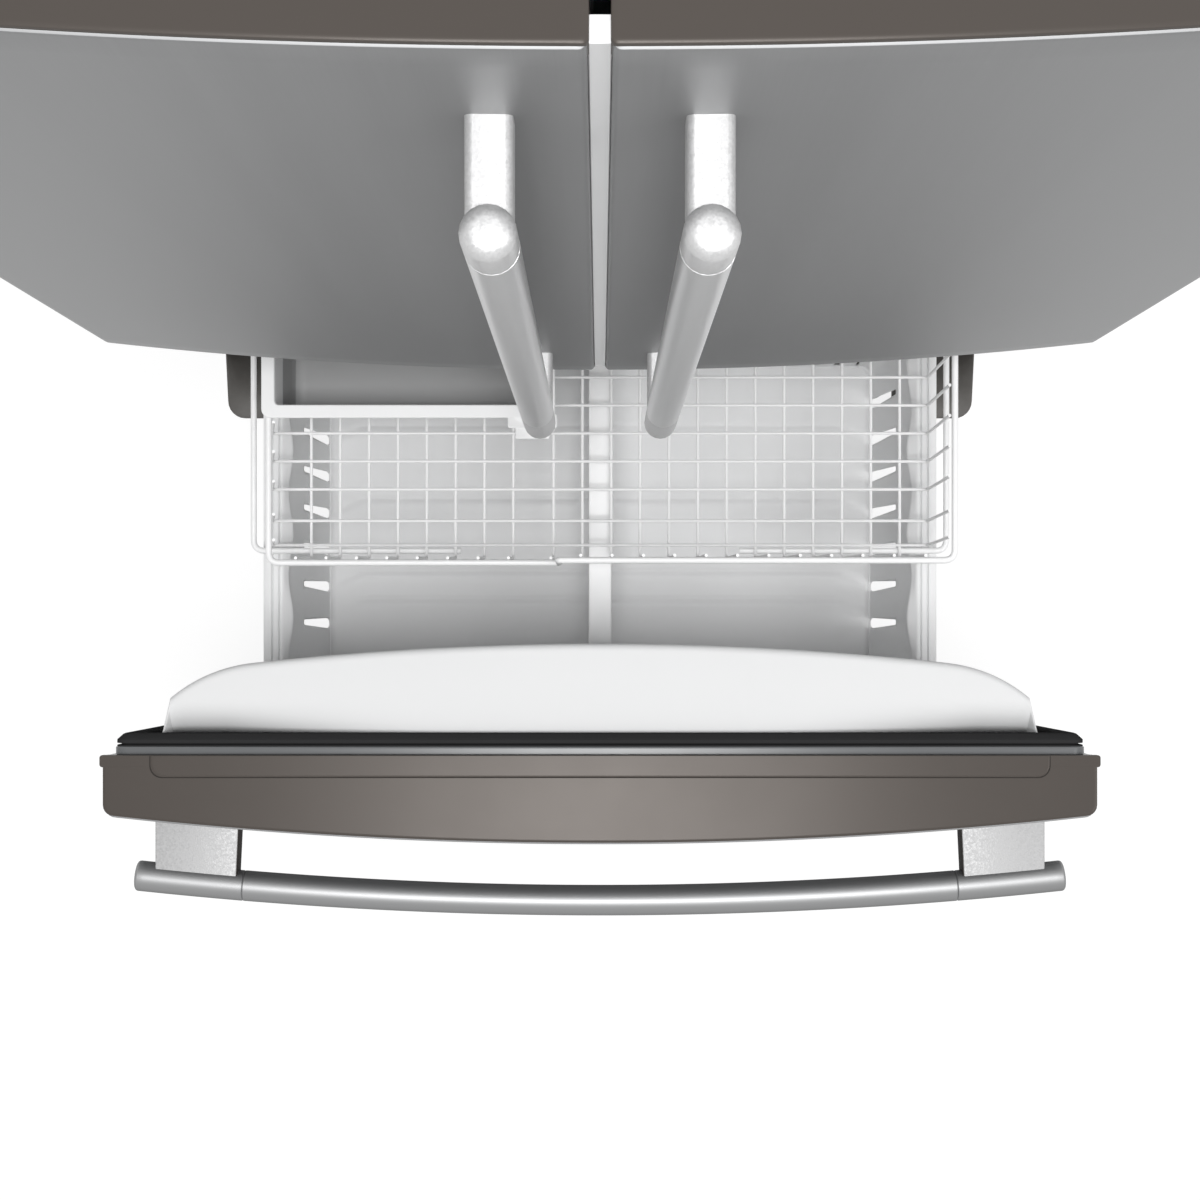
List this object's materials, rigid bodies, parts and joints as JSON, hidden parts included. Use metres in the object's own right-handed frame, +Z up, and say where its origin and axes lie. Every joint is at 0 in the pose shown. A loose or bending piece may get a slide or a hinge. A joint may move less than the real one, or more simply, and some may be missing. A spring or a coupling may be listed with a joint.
{
  "type": "bottom freezer refrigerator",
  "caption": "Tall refrigerator with two bowed upper doors and a pull-out freezer drawer that stands open, showing its slotted bin, divider, wire basket and ice bin.",
  "frame": {"origin": "on the floor under the middle of the part as it stands with the freezer drawer open", "axes": "+Z up, +Y from the doors towards the back, +X to the right of someone who faces the doors"},
  "size_m": [0.905, 1.3431, 1.781],
  "materials": {
    "case_paint": "satin",
    "zinc_sheet": "satin",
    "board": "matte",
    "foam": "matte",
    "liner": "gloss",
    "taupe_plastic": "satin",
    "black_paint": "satin",
    "gasket_rubber": "matte",
    "grey_plastic": "matte",
    "fin_metal": "satin",
    "white_plastic": "satin",
    "white_steel": "satin",
    "glass": "gloss",
    "mullion_plastic": "satin",
    "clear_plastic": "gloss",
    "brushed_steel": "brushed",
    "handle_steel": "brushed",
    "bracket_paint": "satin",
    "white_wire": "gloss",
    "foot_plastic": "matte"
  },
  "bodies": {
    "cabinet": {"outer_case": "case_paint", "back_panel": "zinc_sheet", "machine_cover": "board", "cabinet_insulation": "foam", "fresh_food_liner": "liner", "freezer_liner": "liner", "base_pan": "zinc_sheet", "base_grille": "taupe_plastic", "compressor": "black_paint", "compressor_mounts": "gasket_rubber", "condenser": "black_paint", "drain_pan": "grey_plastic", "fan_motors": "black_paint", "evaporator": "fin_metal", "evaporator_cover": "white_plastic", "air_duct": "white_plastic", "control_panel": "grey_plastic", "shelf_tracks": "white_steel", "shelf_frames": "white_plastic", "shelf_glass": "glass", "ice_maker": "white_plastic", "hinge_brackets": "zinc_sheet", "hinge_covers": "grey_plastic", "slide_fixed": "white_steel"},
    "left_door": {"left_door_skin": "brushed_steel", "left_door_insulation": "foam", "left_door_caps": "taupe_plastic", "left_door_liner": "liner", "left_door_gasket": "gasket_rubber", "left_door_handle": "handle_steel", "left_door_bins": "clear_plastic"},
    "right_door": {"right_door_skin": "brushed_steel", "right_door_insulation": "foam", "right_door_caps": "taupe_plastic", "right_door_liner": "liner", "right_door_gasket": "gasket_rubber", "right_door_handle": "handle_steel", "right_door_bins": "clear_plastic"},
    "mullion": {"door_mullion": "mullion_plastic"},
    "left_crisper": {"left_crisper": "clear_plastic"},
    "right_crisper": {"right_crisper": "clear_plastic"},
    "freezer_drawer": {"drawer_skin": "brushed_steel", "drawer_caps": "taupe_plastic", "drawer_insulation": "foam", "drawer_liner": "liner", "drawer_gasket": "gasket_rubber", "drawer_handle": "handle_steel", "drawer_handle_brackets": "bracket_paint", "slide_inner": "white_steel", "lower_bin": "white_plastic"},
    "middle_slides": {"slide_middle": "white_steel"},
    "divider": {"bin_divider": "white_plastic"},
    "upper_basket": {"upper_basket": "white_wire"},
    "ice_bin": {"ice_bin": "white_plastic"},
    "feeler_arm": {"feeler_arm": "fin_metal"},
    "condenser_fan": {"condenser_fan": "grey_plastic"},
    "evaporator_fan": {"evaporator_fan": "grey_plastic"},
    "left_leveling_leg": {"left_leveling_leg": "foot_plastic"},
    "right_leveling_leg": {"right_leveling_leg": "foot_plastic"},
    "rear_rollers": {"rear_rollers": "foot_plastic"}
  },
  "joints": [
    {"name": "left_door_hinge", "type": "hinge", "parent": "cabinet", "child": "left_door", "pos_m": [-0.4305, -0.10368, 1.2], "axis": [0, 0, 1], "range_deg": [-125, 0]},
    {"name": "right_door_hinge", "type": "hinge", "parent": "cabinet", "child": "right_door", "pos_m": [0.4305, -0.10368, 1.2], "axis": [0, 0, 1], "range_deg": [0, 125]},
    {"name": "mullion_fold", "type": "hinge", "parent": "left_door", "child": "mullion", "pos_m": [-0.0395, -0.05937, 1.2], "axis": [0, 0, 1], "range_deg": [0, 90.01]},
    {"name": "left_crisper_slide", "type": "slide", "parent": "cabinet", "child": "left_crisper", "axis": [0, -1, 0], "range_m": [0, 0.2201]},
    {"name": "right_crisper_slide", "type": "slide", "parent": "cabinet", "child": "right_crisper", "axis": [0, -1, 0], "range_m": [0, 0.2201]},
    {"name": "drawer_slide", "type": "slide", "parent": "cabinet", "child": "freezer_drawer", "axis": [0, -1, 0], "range_m": [-0.433, 0]},
    {"name": "middle_slide", "type": "slide", "parent": "cabinet", "child": "middle_slides", "axis": [0, -1, 0], "range_m": [-0.21651, 0]},
    {"name": "basket_slide", "type": "slide", "parent": "cabinet", "child": "upper_basket", "axis": [0, -1, 0], "range_m": [-0.36201, 0]},
    {"name": "ice_bin_slide", "type": "slide", "parent": "upper_basket", "child": "ice_bin", "axis": [0, -1, 0], "range_m": [0, 0.11]},
    {"name": "divider_slide", "type": "slide", "parent": "freezer_drawer", "child": "divider", "axis": [1, 0, 0], "range_m": [-0.25, 0.25]},
    {"name": "feeler_arm_swing", "type": "hinge", "parent": "cabinet", "child": "feeler_arm", "pos_m": [-0.087, 0.30162, 0.646], "axis": [0, -1, 0], "range_deg": [0, 30]},
    {"name": "condenser_fan_spin", "type": "hinge", "parent": "cabinet", "child": "condenser_fan", "pos_m": [-0.173, 0.54663, 0.17], "axis": [1, 0, 0], "continuous": true},
    {"name": "evaporator_fan_spin", "type": "hinge", "parent": "cabinet", "child": "evaporator_fan", "pos_m": [0, 0.55663, 0.59], "axis": [0, 1, 0], "continuous": true},
    {"name": "left_leg_turn", "type": "hinge", "parent": "cabinet", "child": "left_leveling_leg", "pos_m": [-0.39, -0.03338, 0.02], "axis": [0, 0, 1], "continuous": true},
    {"name": "right_leg_turn", "type": "hinge", "parent": "cabinet", "child": "right_leveling_leg", "pos_m": [0.39, -0.03338, 0.02], "axis": [0, 0, 1], "continuous": true},
    {"name": "roller_spin", "type": "hinge", "parent": "cabinet", "child": "rear_rollers", "pos_m": [0, 0.62662, 0.022], "axis": [1, 0, 0], "continuous": true}
  ],
  "couplings": [
    {"joint": "mullion_fold", "follows": "left_door_hinge", "ratio": -0.72},
    {"joint": "left_crisper_slide", "follows": "left_door_hinge", "m_per_rad": -0.10084},
    {"joint": "right_crisper_slide", "follows": "right_door_hinge", "m_per_rad": 0.10084},
    {"joint": "middle_slide", "follows": "drawer_slide", "ratio": 0.5},
    {"joint": "basket_slide", "follows": "drawer_slide", "ratio": 0.83603}
  ]
}
